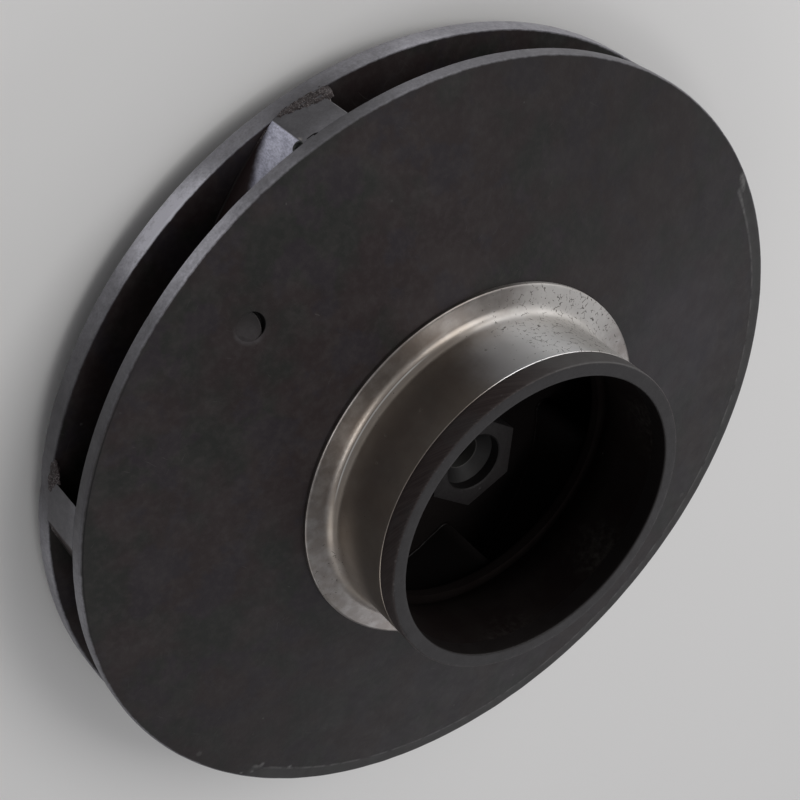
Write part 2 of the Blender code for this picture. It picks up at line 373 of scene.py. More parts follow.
def turned_face(name):
    """Plastic faced in a lathe, with the tool's fine rings on it."""
    material, shader, place = new_finish(name, 0.35, 0.48)
    radius = from_axis(place)
    rings = grain(radius.node("ShaderNodeCombineXYZ", {}, {"X": radius}), 0.00022, 1.0)
    colour = mix(step(rings, 0.35, 0.65) * 0.35 + 0.1, skin(place), (0.085, 0.08, 0.086))
    colour.into(shader, "Base Color")
    emboss(shader, rings, 0.00003)
    return material


def rear_boss_section(angle):
    section = spaced((SHAFT_RADIUS + BORE_CHAMFER, 0), (BOSS_RADIUS - BOSS_EDGE, 0), 4)
    section += [(BOSS_RADIUS - BOSS_EDGE, 0), (BOSS_RADIUS, BOSS_EDGE)]
    section += [(BOSS_RADIUS, BACK_FACE_Z - 0.001)]
    section += arc((BOSS_RADIUS + 0.0008, BACK_FACE_Z - 0.0008), 0.0008, 180, 90, 3)
    section += [(BOSS_RADIUS + 0.0008, BACK_FACE_Z + 0.0002), (SHAFT_RADIUS, BACK_FACE_Z + 0.0002)]
    return section + [(SHAFT_RADIUS, BORE_CHAMFER)]


faced = turned_face("faced_plastic")
rear_boss = lathe("seal_boss", rear_boss_section, 192, faced)
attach(rear_boss, "root")
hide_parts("rear_boss")


# Hub: the concave cone inside the eye that turns the water outwards, moulded in one with
# the back disc and bored from behind for the shaft.

hub_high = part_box("hub")[1]
HUB_FOOT_RADIUS = hub_high.x
HUB_TOP_RADIUS = 0.0142
HUB_TOP_Z = hub_high.z
SCREW_HOLE_RADIUS = 0.0044
SHAFT_END_Z = 0.0203
HUB_STEPS = 24


def hub_section(angle):
    width = HUB_FOOT_RADIUS - HUB_TOP_RADIUS
    height = HUB_TOP_Z - BACK_INNER_Z
    section = [(SHAFT_RADIUS, BACK_INNER_Z - 0.0002), (HUB_FOOT_RADIUS, BACK_INNER_Z - 0.0002)]
    for i in range(HUB_STEPS + 1):
        turn = 0.5 * pi * i / HUB_STEPS
        section.append((HUB_FOOT_RADIUS - width * sin(turn), HUB_TOP_Z - height * cos(turn)))
    section += [(SCREW_HOLE_RADIUS, HUB_TOP_Z), (SCREW_HOLE_RADIUS, SHAFT_END_Z)]
    return section + [(SHAFT_RADIUS, SHAFT_END_Z)]


def deep_shade(place, colour):
    """Painted shade: nearly black all over, since it lies deep in the eye."""
    return mix(0.8 + 0.2 * grain(place, 0.008, 3.0), colour, EYE_DARK)


black_moulded = moulded("black_plastic_moulded", deep_shade, gloss=0.1, dull_radius=0.03)
hub = lathe("hub_cone", hub_section, 192, black_moulded)
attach(hub, "root")
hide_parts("hub")


# Hexagon nose: the end of the hub that a spanner holds while the retaining screw is done
# up. Its end is faced grey and counterbored, with a conical seat down to the screw hole.

nose_low, nose_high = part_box("hex_nose")
HEX_ACROSS_FLATS = 0.0221
HEX_CORNER_ANGLE = radians(35.2)
HEX_TOP_Z = nose_high.z
COUNTERBORE_RADIUS = 0.0075
COUNTERBORE_DEPTH = 0.003
SCREW_SEAT_DEPTH = 0.0052


def keep_modified(piece):
    """Turns the modifiers of a piece into its mesh."""
    graph = bpy.context.evaluated_depsgraph_get()
    mesh = bpy.data.meshes.new_from_object(piece.evaluated_get(graph))
    piece.modifiers.clear()
    piece.data = mesh
    mesh.shade_smooth()
    mesh.set_sharp_from_angle(angle=radians(35))


def carve(piece, cutter):
    """Cuts a shape out of a piece for good."""
    modifier = piece.modifiers.new("carve", "BOOLEAN")
    modifier.solver = "EXACT"
    modifier.object = cutter
    keep_modified(piece)
    bpy.data.objects.remove(cutter)


def bevelled(piece, width, segments):
    """Rounds the sharp edges of a piece for good."""
    modifier = piece.modifiers.new("round", "BEVEL")
    modifier.width = width
    modifier.segments = segments
    modifier.limit_method = "ANGLE"
    modifier.angle_limit = radians(40)
    keep_modified(piece)


def prism(name, outline, low, high, finish):
    """An outline raised between two heights."""
    bm = bmesh.new()
    face = bm.faces.new([bm.verts.new((x, y, low)) for x, y in outline])
    made = bmesh.ops.extrude_face_region(bm, geom=[face])
    raised = [item for item in made["geom"] if isinstance(item, bmesh.types.BMVert)]
    bmesh.ops.translate(bm, vec=(0, 0, high - low), verts=raised)
    return shaped(name, bm, finish)


def grey_plastic(name):
    """Plastic cut to an even tone, with fine scuffs, a dark screw seat and a dusty hole."""
    material, shader, place = new_finish(name, 0.3)
    fine = grain(place, 0.0009, 4.0)
    clouds = step(fine + 0.4 * grain(place, 0.006, 3.0), 0.5, 0.9)
    colour = mix(clouds, (0.0125, 0.0108, 0.011), (0.02, 0.0178, 0.018))
    seat = 1 - step(from_axis(place), COUNTERBORE_RADIUS - 0.0004, COUNTERBORE_RADIUS + 0.0004)
    colour = mix(seat * 0.7, colour, (0.0034, 0.003, 0.003))
    hole = 1 - step(from_axis(place), SCREW_HOLE_RADIUS, SCREW_HOLE_RADIUS + 0.0003)
    colour = mix(hole * 0.8, colour, (0.06, 0.058, 0.054))
    scuffs = scratches(place, 0.004, 0.0003, 0.9, 0.3) * 0.4 + specks(place, 0.003, 0.04)
    mix(scuffs * 0.6, colour, (0.075, 0.07, 0.074)).into(shader, "Base Color")
    emboss(shader, fine, 0.00004)
    (0.5 + 0.15 * grain(place, 0.005)).into(shader, "Roughness")
    return material


corner_radius = HEX_ACROSS_FLATS / 2 / cos(pi / 6)
hexagon = [HEX_CORNER_ANGLE + k * pi / 3 for k in range(6)]
hexagon = [(corner_radius * cos(a), corner_radius * sin(a)) for a in hexagon]
faced_grey = grey_plastic("faced_nose_plastic")
hex_nose = prism("hexagon_nose", hexagon, nose_low.z, HEX_TOP_Z, faced_grey)
bevelled(hex_nose, 0.00022, 2)


def screw_bore_section(angle):
    """The screw hole, its conical seat and the counterbore, as a cutter."""
    bore, top = COUNTERBORE_RADIUS, HEX_TOP_Z
    near_axis, beyond = 0.00001, 0.002
    foot = nose_low.z - beyond
    section = [(near_axis, foot), (SCREW_HOLE_RADIUS, foot)]
    section += [(SCREW_HOLE_RADIUS, top - SCREW_SEAT_DEPTH), (bore, top - COUNTERBORE_DEPTH)]
    section += [(bore, top - 0.0003), (bore + 0.0003, top), (bore + 0.0003, top + beyond)]
    return section + [(near_axis, top + beyond)]


carve(hex_nose, lathe("screw_bore", screw_bore_section, 96, faced_grey))
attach(hex_nose, "root")
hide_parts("hex_nose")


# Vanes: six backward-curved blades moulded on the front shroud and welded to the back one.
# Their outer ends are turned flush with the rims. The first vane's outer side is worn down
# to the fibres near the rim and painted as lit there, and its end is nicked.

FRONT_EDGE_RADIUS = 0.0985
FRONT_THICKNESS_AT_RIM = 0.0033
CONE_RISE = 0.1367
UNDERSIDE_RISE = 0.132
VANE_COUNT = 6
VANE_THICKNESS = 0.0045
VANE_ANGLE = radians(24.0)
VANE_INNER_RADIUS = 0.0415
VANE_ROWS = 6

front_low, front_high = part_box("front_shroud")
FRONT_INNER_Z = front_low.z
RIM_Z = FRONT_INNER_Z + FRONT_THICKNESS_AT_RIM

# Each nick of the first vane: (radius, degrees, height), then its half sizes outwards,
# around and up.
FIRST_VANE_NICKS = [
    ((0.0986, 4.15, 0.0221), (0.0013, 0.0012, 0.0012)),
    ((0.099, 2.1, 0.0226), (0.0005, 0.0013, 0.00026)),
    ((0.099, 1.55, 0.0229), (0.0004, 0.0005, 0.00022)),
]
FIRST_SIDE = (DISC_RADIUS, 0.01, 0.5 * (BACK_INNER_Z + FRONT_INNER_Z))
FIRST_SIDE_FOOT = (0.0985, 0.0062, 0.012)
FIRST_END_CORNER = (0.0988, -0.0056, 0.02)
LEADING_EDGE_Y = -0.0052
BURR_SPOT = polar(DISC_RADIUS, 3.45, 0.0212)
SCORED_SPOT = polar(0.099, 1.95, 0.0227)


def underside_z(radius):
    """Height of the front shroud's inner face."""
    return FRONT_INNER_Z + (DISC_RADIUS - radius) * UNDERSIDE_RISE


def cone_z(radius):
    """Height of the front shroud's outer face."""
    return RIM_Z + (FRONT_EDGE_RADIUS - radius) * CONE_RISE


def spiral_point(radius, side):
    """Point beside the vane's centre line, which is an equiangular spiral."""
    angle = log(DISC_RADIUS / radius) / tan(VANE_ANGLE)
    radial = Vector((cos(angle), sin(angle)))
    around = Vector((-sin(angle), cos(angle)))
    return radial * radius + (radial * cos(VANE_ANGLE) + around * sin(VANE_ANGLE)) * side


def vane_side(side, steps):
    """One side of a vane, from its nose out to the rim."""
    outermost = DISC_RADIUS * 1.06
    growth = outermost / VANE_INNER_RADIUS
    points = [spiral_point(VANE_INNER_RADIUS * growth ** (i / steps), side) for i in range(steps + 1)]
    inside = [p for p in points if p.length < DISC_RADIUS]
    before, after = inside[-1], points[len(inside)]
    share = (DISC_RADIUS - before.length) / (after.length - before.length)
    return inside + [before.lerp(after, share)]


def vane_outline():
    """Both sides of the vane with its round nose; the outer end follows the rim."""
    half = VANE_THICKNESS / 2
    outer, inner = vane_side(half, 60), vane_side(-half, 60)
    centre = spiral_point(VANE_INNER_RADIUS, 0)
    arm = outer[0] - centre
    nose = [centre + Matrix.Rotation(i * pi / 10, 2) @ arm for i in range(1, 10)]
    last, first = [Vector((1, 0)).angle_signed(p) for p in (inner[-1], outer[-1])]
    end = [-last + (last - first) * i / 8 for i in range(1, 8)]
    end = [Vector((DISC_RADIUS * cos(a), DISC_RADIUS * sin(a))) for a in end]
    return nose + inner + end + outer[::-1]


def vane_paint(place, colour):
    """Sides darkened as painted shade and a grey turned end; on the first vane a pale side patch worn
    to the fibres and painted as lit, with a painted shadow edge, a painted highlight on the end's
    leading edge, and nicks.
    """
    radius = from_axis(place)
    height = coordinate(place, "Z")
    normal = place.node("ShaderNodeNewGeometry", {}, {}, "Normal")
    # Painted light: a pale patch on the first vane's outer side, whose slanted edge is a painted
    # shadow line.
    reach = radius + 0.85 * height + 0.0014 * grain(place, 0.0016)
    worn = step(reach, 0.1066, 0.1096) * step(normal.vector("DOT_PRODUCT", place, "Value"), 0.0, 0.02)
    worn = worn * within(place, FIRST_SIDE, 0.022, 0.028)
    # Painted shade: the vanes' sides are darkened towards the passage colour.
    colour = eye_shade(place, mix(0.7 - 0.7 * worn, colour, PASSAGE_SHADE))
    strokes = 0.6 * grain(place, 0.00034, 3.0, (1.4, 1, 2.4)) + 0.6 * grain(place, 0.0022, 3.0)
    pale = mix(step(strokes, 0.42, 0.78), (0.42, 0.425, 0.53), (0.82, 0.83, 0.98))
    off_foot = step(away(place, FIRST_SIDE_FOOT), 0.005, 0.014)
    colour = mix(worn, colour, mix(off_foot * 0.45, pale, (0.17, 0.17, 0.22)))
    end = step(radius, DISC_RADIUS - 0.00026, DISC_RADIUS - 0.0001)
    upper = step(height, FRONT_INNER_Z - 0.004, FRONT_INNER_Z)
    colour = mix(end, colour, fibres(place, 0.08 + 0.08 * grain(place, 0.006, 2.0) + 0.08 * upper))
    # Painted highlight: a pale line along the leading edge of the first vane's end.
    edge = end * (1 - step(coordinate(place, "Y"), LEADING_EDGE_Y - 0.00018, LEADING_EDGE_Y))
    edge = edge * within(place, FIRST_END_CORNER, 0.0, 0.0058) * grain(place, 0.0008, 2.0)
    colour = mix(edge, colour, (0.6, 0.59, 0.6))
    cut_in = 1 - step(radius, DISC_RADIUS - 0.00012, DISC_RADIUS - 0.00005)
    broken = within(place, polar(*FIRST_VANE_NICKS[0][0]), 0.00135, 0.00155)
    colour = mix(broken * cut_in, colour, (0.048, 0.051, 0.049))
    burr = within(place, BURR_SPOT, 0.0005, 0.0014, 0.0008 * grain(place, 0.0006, 3.0))
    colour = mix(burr * (1 - cut_in) * 0.8, colour, (0.38, 0.35, 0.33))
    scored = within(place, SCORED_SPOT, 0.0014, 0.0018)
    return mix(scored * cut_in, colour, (0.02, 0.018, 0.018))


def pebble(name, spot, size, finish):
    """A rough lump of that size at (radius, angle in degrees, height)."""
    bm = bmesh.new()
    bmesh.ops.create_icosphere(bm, subdivisions=3, radius=1.0)
    turn = Matrix.Rotation(radians(spot[1]), 3, "Z")
    for vert in bm.verts:
        point = vert.co * (1 + 0.35 * noise.noise(vert.co * 1.7 + Vector((spot[1], 0, 0))))
        point = Vector((spot[0] + point.x * size[0], point.y * size[1], spot[2] + point.z * size[2]))
        vert.co = turn @ point
    return shaped(name, bm, finish)


lit_worn_vane = moulded("black_plastic_worn_lit_vane", vane_paint, dull_radius=0.062)
outline = vane_outline()
for number in range(VANE_COUNT):
    turn = Matrix.Rotation(number * 2 * pi / VANE_COUNT, 2)
    bm = bmesh.new()
    rows = []
    for k in range(VANE_ROWS + 1):
        row = []
        for point in outline:
            top = underside_z(point.length) + 0.00005
            foot = BACK_INNER_Z - 0.00005
            flat = turn @ point
            row.append(bm.verts.new((flat.x, flat.y, foot + (top - foot) * k / VANE_ROWS)))
        rows.append(row)
    joined(bm, rows)
    vane = shaped(f"curved_vane_{number + 1}", bm, lit_worn_vane)
    bevelled(vane, 0.00012, 1)
    if number == 0:
        for spot, size in FIRST_VANE_NICKS:
            carve(vane, pebble("nick_cutter", spot, size, lit_worn_vane))
    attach(vane, "root")
    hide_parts(f"vane_{number + 1}")


# Weld flash: plastic squeezed out when the back shroud was welded to the vanes. A thin
# bead runs round the foot of every vane, and a torn, crumpled skin of it covers the corner
# between the vane's end and the back rim, tallest on the side that leads in use.

BEAD_RADIUS = 0.0005
BEAD_SIDES = 8
FLASH_STEPS = 110
FLASH_ROWS = 60
FLASH_LEAD = -3.3
FLASH_OVERLAP = 0.0014

# Where the skin starts and ends at each vane, in degrees from the vane, and how tall it is.
FLASH_SPANS = [(-4.8, 3.6, 0.0056), (-5.6, -0.7, 0.0036), (-4.4, 1.8, 0.0045)]
FLASH_SPANS += [(-4.5, 2.9, 0.005), (-4.2, 0.4, 0.0036), (-4.6, 2.2, 0.0048)]


def stripe(value, low, full_low, full_high, high):
    """1 between the two middle values, fading to 0 at the outer two."""
    return step(value, low, full_low) - step(value, full_high, high)


def torn_paint(place, colour):
    """Brown and grey at the rim, with pale lines painted as highlights along the folds, and painted
    shade further in.
    """
    colour = mix(0.75 - 0.2 * grain(place, 0.002), colour, (0.048, 0.036, 0.036))
    dark = step(grain(place, 0.0028, 4.0), 0.44, 0.6)
    colour = mix(dark * 0.6, colour, (0.013, 0.0085, 0.0085))
    # Painted highlights: pale lines along the folds, with pale specks.
    line = stripe(grain(place, 0.0011, 3.0, offset=6.0), 0.482, 0.5, 0.505, 0.523)
    colour = mix(line * 0.5 + specks(place, 0.0011, 0.16) * 0.8, colour, (0.38, 0.35, 0.35))
    # Painted shade: darker where the skin runs in from the rim towards the passage.
    behind = 1 - step(from_axis(place), 0.096, 0.098)
    return eye_shade(place, mix(behind, colour, (0.01, 0.006, 0.0056)))


torn = moulded("torn_flash", torn_paint, 0.45)


# noise_vector starts from the clock unless it is given a seed.
FLASH_SEED = 7
noise.seed_set(FLASH_SEED)


def crumple(point, depth, seed):
    """Moves a point of the bead by two sizes of noise."""
    coarse = noise.noise_vector(point / 0.0011 + Vector((seed, 0, 0)))
    fine = noise.noise_vector(point / 0.0004 + Vector((0, seed, 0)))
    return point + coarse * depth + fine * depth * 0.5


def flash_height(degrees, span):
    """Height of the torn skin at that angle from the vane's end."""
    start, end, tallest = span
    if degrees < FLASH_LEAD:
        return tallest * max(0, (degrees - start) / (FLASH_LEAD - start)) ** 0.5
    return tallest * max(0, (end - degrees) / (end - FLASH_LEAD)) ** 0.8


def flash_point(share, row, span, seed, depth):
    """A point of the skin's face (depth 0) or of its back (depth 1)."""
    degrees = span[0] + (span[1] - span[0]) * share
    up = row / FLASH_ROWS
    ragged = 1 + 0.22 * noise.noise(Vector((degrees * 2.1, seed, 0.3)))
    ragged += 0.12 * noise.noise(Vector((degrees * 7, seed, 5)))
    tall = flash_height(degrees, span)
    low = FLASH_OVERLAP * min(1, tall / 0.003) * ragged
    height = (tall * ragged + low) * up - low
    around = degrees * DISC_RADIUS * pi / 180
    sample = Vector((around * 520 + height * 300, height * 1100 - around * 260, seed * 3.7))
    bend = noise.noise_vector(sample * 0.5) * 0.9
    fold = noise.ridged_multi_fractal(sample * 0.75 + bend, 0.9, 2.2, 3, 1.0, 2.0)
    ends = min(6 * share, 7 * (1 - share)) + 0.02
    border = min(1, ends, 5 * up + 0.05, 5 * (1 - up) + 0.02)
    radius = DISC_RADIUS - 0.0004 + (0.00036 * fold + 0.00014) * border
    radius -= depth * (0.0002 + 0.0009 * border)
    angle = radians(degrees)
    return Vector((radius * cos(angle), radius * sin(angle), BACK_INNER_Z + height))


for number in range(VANE_COUNT):
    turn = Matrix.Rotation(number * 2 * pi / VANE_COUNT, 3, "Z")
    bm = bmesh.new()
    ring = []
    for i, point in enumerate(outline):
        along = (outline[(i + 1) % len(outline)] - outline[i - 1]).normalized()
        across = Vector((along.y, -along.x, 0))
        middle = Vector((point.x, point.y, BACK_INNER_Z)) - across * 0.0002
        middle *= min(1, (DISC_RADIUS - BEAD_RADIUS) / point.length)
        middle.z = BACK_INNER_Z
        loop = []
        for k in range(BEAD_SIDES):
            angle = 2 * pi * k / BEAD_SIDES
            spoke = (across * cos(angle) + Vector((0, 0, sin(angle)))) * BEAD_RADIUS
            loop.append(bm.verts.new(crumple(turn @ (middle + spoke), 0.00022, 11.0)))
        ring.append(loop)
    joined(bm, ring, closed=True)
    bead = shaped(f"weld_bead_{number + 1}", bm, torn, 60.0)
    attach(bead, "root")

    bm = bmesh.new()
    span = FLASH_SPANS[number]
    columns = []
    for i in range(FLASH_STEPS + 1):
        share = i / FLASH_STEPS
        rows = range(FLASH_ROWS + 1)
        loop = [flash_point(share, row, span, number, 0) for row in rows]
        loop += [flash_point(share, row, span, number, 1) for row in reversed(rows)]
        columns.append([bm.verts.new(turn @ point) for point in loop])
    joined(bm, columns)
    skin_piece = shaped(f"torn_skin_{number + 1}", bm, torn, 60.0)
    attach(skin_piece, "root")


# Front shroud: a shallow cone moulded with the vanes. Its face has a blind round pocket,
# deeper in a crescent at one side, and along half of the edge a flat step that was milled
# off to balance the impeller.

NECK_SEAT_Z = front_high.z
EYE_RADIUS = 0.0372
EYE_CORNER = 0.0012
RING_SEAT_RADIUS = 0.044
BALANCE_CUT_RADIUS = 0.0951
BALANCE_CUT_FROM = 120.8
BALANCE_CUT_TO = 278.8
BALANCE_CUT_Z = RIM_Z - 0.0001
RECESS_RADIUS = 0.0033
RECESS_DEPTH = 0.0005
RECESS_TILT = radians(11.0)
RECESS_DEEP_SIDE = -52.0
CRESCENT_SIDE = -92.0
CRESCENT_INNER_RADIUS = 0.006
CRESCENT_OFFSET = 0.0036
CRESCENT_DEPTH = 0.0009
RECESS_AT_RADIUS = 0.0796
RECESS_ANGLE = 25.1
PLUG_SIDES = 96
PLUG_RINGS = 21

# Spot away from which painted shade darkens the face, and the centre of a painted sheen.
UNSHADED_SPOT = (0.06, 0.05, 0.028)
SHEEN_SPOT = (-0.014, -0.062, 0.031)

# Each chip beside the milled step: degrees, radius and size.
CUT_CHIPS = [
    (276.2, 0.0953, 0.0013), (273.8, 0.0953, 0.0018), (275.0, 0.0953, 0.0013),
    (279.8, 0.0978, 0.0021), (279.0, 0.0976, 0.0022), (278.2, 0.0973, 0.0021),
    (277.4, 0.097, 0.0018), (122.6, 0.0943, 0.0018), (128.5, 0.0944, 0.0016),
    (137.3, 0.0953, 0.0014), (120.0, 0.0979, 0.0014), (121.8, 0.097, 0.0015),
    (123.4, 0.0962, 0.0014),
]

# Dusty scuffs in the bore: place and width.
EYE_SCUFFS = [((-0.0341, 0.0149, 0.0576), 0.011), ((-0.0338, -0.0156, 0.0518), 0.01)]
EYE_SCUFFS += [((-0.0043, -0.037, 0.0555), 0.012)]


def balance_cut_radius(angle):
    """Inner edge of the milled step; it runs out over the rim at both ends."""
    degrees = angle * 180 / pi
    past = max(BALANCE_CUT_FROM + 5 - degrees, degrees - BALANCE_CUT_TO + 5, 0)
    return BALANCE_CUT_RADIUS + 0.0034 * min(past / 5, 1) ** 2 + 0.00006 * ripple(angle, 160, 5.0)


def front_shroud_section(angle):
    """A cone with a chipped, rounded rim, the milled step where it is cut, and the eye."""
    rim = DISC_RADIUS + 0.00003 * ripple(angle, 40, 6.0)
    rounding = 0.0007 + 0.00014 * ripple(angle, 120, 7.0)
    chip = 0.00014 + 0.0002 * max(0, ripple(angle, 240, 8.0) - 0.25)
    seat_radius = FRONT_EDGE_RADIUS - (NECK_SEAT_Z - RIM_Z) / CONE_RISE
    edge = balance_cut_radius(angle)
    cut = edge < FRONT_EDGE_RADIUS - 0.0002
    corner_z = underside_z(EYE_RADIUS + EYE_CORNER) + EYE_CORNER
    section = [(rim - chip, FRONT_INNER_Z), (rim, FRONT_INNER_Z + chip), (rim, RIM_Z - 0.0015)]
    section += arc((rim - rounding, RIM_Z - rounding), rounding, 0, 90, 5)
    for share in (0.25, 0.6, 1.0):
        radius = rim - rounding - 0.0001 + (edge + 0.0001 - rim + rounding + 0.0001) * share
        section.append((radius, BALANCE_CUT_Z if cut else min(cone_z(radius), RIM_Z)))
    section += [(edge, cone_z(edge) + (0.00006 if cut else 0))]
    section += [(edge - 0.0003, cone_z(edge - 0.0003)), (edge - 0.0012, cone_z(edge - 0.0012))]
    section += spaced((0.0935, cone_z(0.0935)), (seat_radius, NECK_SEAT_Z), 14)
    section += [(seat_radius, NECK_SEAT_Z), (EYE_RADIUS, NECK_SEAT_Z), (EYE_RADIUS, corner_z + 0.0006)]
    section += arc((EYE_RADIUS + EYE_CORNER, corner_z), EYE_CORNER, 180, 270, 6)
    return section + spaced((0.045, underside_z(0.045)), (rim - 0.0008, underside_z(rim - 0.0008)), 6)


pocket_place = Vector(polar(RECESS_AT_RADIUS, RECESS_ANGLE, cone_z(RECESS_AT_RADIUS)))
cut_middle = (BALANCE_CUT_FROM + BALANCE_CUT_TO) / 2
cut_half = radians((BALANCE_CUT_TO - BALANCE_CUT_FROM) / 2)


def cut_paint(place, radius, colour):
    """The milled step, the torn line beside it and its chips."""
    border = BALANCE_CUT_RADIUS * cos(cut_half)
    across = place.vector("DOT_PRODUCT", polar(1, cut_middle, 0), "Value")
    milled = step(across, border, border + 0.0016)
    cut = milled * step(radius, BALANCE_CUT_RADIUS - 0.0001, BALANCE_CUT_RADIUS + 0.0001)
    colour = mix(cut * (0.25 + 0.5 * grain(place, 0.003, 3.0)), colour, (0.056, 0.056, 0.055))
    line = stripe(radius, 0.0943, 0.095, 0.0952, 0.096)
    line = milled * line * step(grain(place, 0.003, 4.0), 0.3, 0.66)
    colour = mix(line * 0.7, colour, (0.11, 0.108, 0.106))
    ragged = 0.0014 * grain(place, 0.0009, 3.0)
    for degrees, at_radius, size in CUT_CHIPS:
        chip_place = polar(at_radius, degrees, cone_z(at_radius))
        chip = within(place, chip_place, 0.3 * size, size, ragged)
        colour = mix(chip * 0.7, colour, (0.15, 0.148, 0.145))
    return colour


def pocket_paint(place, colour):
    """A rubbed halo on the low side, a grey floor, and a black crescent of painted shade with a pale
    edge.
    """
    low_side = pocket_place + Vector(polar(0.004, 140, 0))
    halo = within(place, pocket_place, 0.004, 0.0052, 0.001 * grain(place, 0.002))
    halo = halo * within(place, low_side, 0.0024, 0.0062) * grain(place, 0.0016, 3.0)
    colour = mix(halo * 0.75, colour, (0.085, 0.082, 0.086))
    middle = (pocket_place.x, pocket_place.y, 0)
    inside = within(level(place), middle, RECESS_RADIUS + 0.0001, RECESS_RADIUS + 0.00018)
    colour = mix(inside * 0.5, colour, (0.013, 0.0105, 0.011))
    deep_way = Vector(polar(1, CRESCENT_SIDE, 0))
    off_middle = away(place, pocket_place - deep_way * CRESCENT_OFFSET - Vector((0, 0, 0.0006)))
    edge = CRESCENT_INNER_RADIUS
    pale = stripe(off_middle, edge - 0.00024, edge - 0.00018, edge - 0.00008, edge - 0.00002)
    pale = pale * within(place, pocket_place + deep_way * 0.0022, 0.0014, 0.003)
    colour = mix(inside * pale * 0.5, colour, (0.075, 0.068, 0.068))
    # Painted shade: the crescent is coloured nearly black.
    crescent_shade = step(off_middle, edge - 0.00002, edge + 0.00004)
    return mix(inside * crescent_shade * 0.93, colour, (0.002, 0.0015, 0.0015))


def front_paint(place, colour):
    """Painted shade inside the eye and towards the right, a painted soft sheen, and a darker band and
    dark line just inside the turned rim.
    """
    radius = from_axis(place)
    # Painted shade inside the eye.
    inside = 1 - step(radius, EYE_RADIUS + 0.007, EYE_RADIUS + 0.0076)
    colour = mix(inside, colour, EYE_DARK)
    # Painted shade: darker away from one spot, towards the right.
    shaded_right = step(away(place, UNSHADED_SPOT), 0.05, 0.12) * (1 - inside)
    colour = mix(shaded_right * 0.45, colour, (0.007, 0.0058, 0.0058))
    # Painted sheen: a lighter violet patch beside the ring.
    sheen = within(place, SHEEN_SPOT, 0.01, 0.034)
    colour = mix(sheen * 0.25, colour, (0.04, 0.035, 0.046))
    shade = step(radius, 0.0962, 0.098) * grain(place, 0.004, 3.0)
    colour = mix(shade * 0.35, colour, (0.012, 0.0105, 0.0105))
    uneven = radius + 0.0003 * grain(place, 0.002)
    edge_line = stripe(uneven, 0.09815, 0.09825, 0.0985, 0.0986) * beside(place, 56, 0.05)
    colour = mix(edge_line * 0.9, colour, (0.003, 0.0025, 0.0026))
    colour = pocket_paint(place, cut_paint(place, radius, colour))
    return mix(rim_share(place), colour, fibres(place, rim_tone_and_highlight(place)))


def eye_plastic(name):
    """The bore's skin: brown black as painted shade, and dull, with dusty scuffs low in it."""
    material, shader, place = new_finish(name, 0.1, 0.75)
    # Painted shade: the bore is coloured far darker than the plastic outside.
    clouds = step(grain(place, 0.012, 4.0), 0.4, 0.65)
    colour = mix(clouds, (0.0062, 0.0036, 0.0034), (0.0085, 0.0062, 0.0056))
    broken = step(grain(place, 0.0016, 5.0), 0.35, 0.75)
    ragged = 0.01 * grain(place, 0.004, 5.0)
    for scuff_place, width in EYE_SCUFFS:
        scuff = within(place, scuff_place, 0.006, 0.006 + width, ragged)
        colour = mix(scuff * broken * 0.8, colour, (0.03, 0.028, 0.025))
    mix(specks(place, 0.003, 0.04), colour, (0.12, 0.115, 0.11)).into(shader, "Base Color")
    emboss(shader, grain(place, 0.0008, 4.0), 0.00005)
    return material


dark_bore = eye_plastic("dark_eye_bore")
front_plastic = moulded("black_plastic_front", front_paint, dull_radius=0.0415)
front_shroud = lathe("front_cone", front_shroud_section, RIM_STEPS, front_plastic)


def pocket_cutter():
    """A tilted round plug; a crescent at one side of its foot reaches deeper."""
    slope = atan(CONE_RISE)
    axis = Vector(polar(sin(slope), RECESS_ANGLE, cos(slope)))
    axis += Vector(polar(tan(RECESS_TILT), RECESS_DEEP_SIDE, 0))
    axis.normalize()
    deep_way = Vector(polar(1, CRESCENT_SIDE, 0))
    deep_way = (deep_way - axis * deep_way.dot(axis)).normalized()
    side_way = axis.cross(deep_way)
    foot = pocket_place - axis * RECESS_DEPTH
    bm = bmesh.new()
    rings = []
    for k in range(PLUG_RINGS + 1):
        radius = RECESS_RADIUS * min(0.5 + 0.025 * k, 1.0)
        ring = []
        for i in range(PLUG_SIDES):
            deep = radius * cos(2 * pi * i / PLUG_SIDES)
            side = radius * sin(2 * pi * i / PLUG_SIDES)
            past = hypot(deep + CRESCENT_OFFSET, side) - CRESCENT_INNER_RADIUS
            height = -CRESCENT_DEPTH * min(max(past / 0.0003, 0), 1)
            if k == PLUG_RINGS:
                height = 0.004
            ring.append(bm.verts.new(foot + deep_way * deep + side_way * side + axis * height))
        rings.append(ring)
    joined(bm, rings)
    return shaped("pocket_cutter", bm, front_plastic)


carve(front_shroud, pocket_cutter())
front_shroud.data.materials.append(dark_bore)
for face in front_shroud.data.polygons:
    if Vector(face.center[:2]).length < RING_SEAT_RADIUS:
        face.material_index = 1
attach(front_shroud, "root")
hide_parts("front_shroud")


# Eye neck: the tube that carries the ring, moulded in one with the front shroud. The ring
# covers it outside, so only its dark bore shows.

ring_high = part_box("wear_ring")[1]
RING_SHEET = 0.0008
RING_SLEEVE_RADIUS = 0.04075
SLEEVE_END_Z = ring_high.z


def neck_section(angle):
    outer = RING_SLEEVE_RADIUS - RING_SHEET - 0.00005
    low, high = NECK_SEAT_Z - 0.0001, SLEEVE_END_Z + 0.0004
    section = [(outer, low)] + spaced((outer, low + 0.001), (outer, high), 3)
    section += [(outer, high), (EYE_RADIUS, high)]
    return section + spaced((EYE_RADIUS, high - 0.001), (EYE_RADIUS, low), 4)


neck = lathe("eye_tube", neck_section, 288, dark_bore)
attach(neck, "root")
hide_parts("eye_neck")


# Wear ring: 0.8 mm stainless sheet pressed into a flange, a tight fillet and a sleeve, and
# pushed over the neck. Water has left fine dark specks and curly scratches on it.

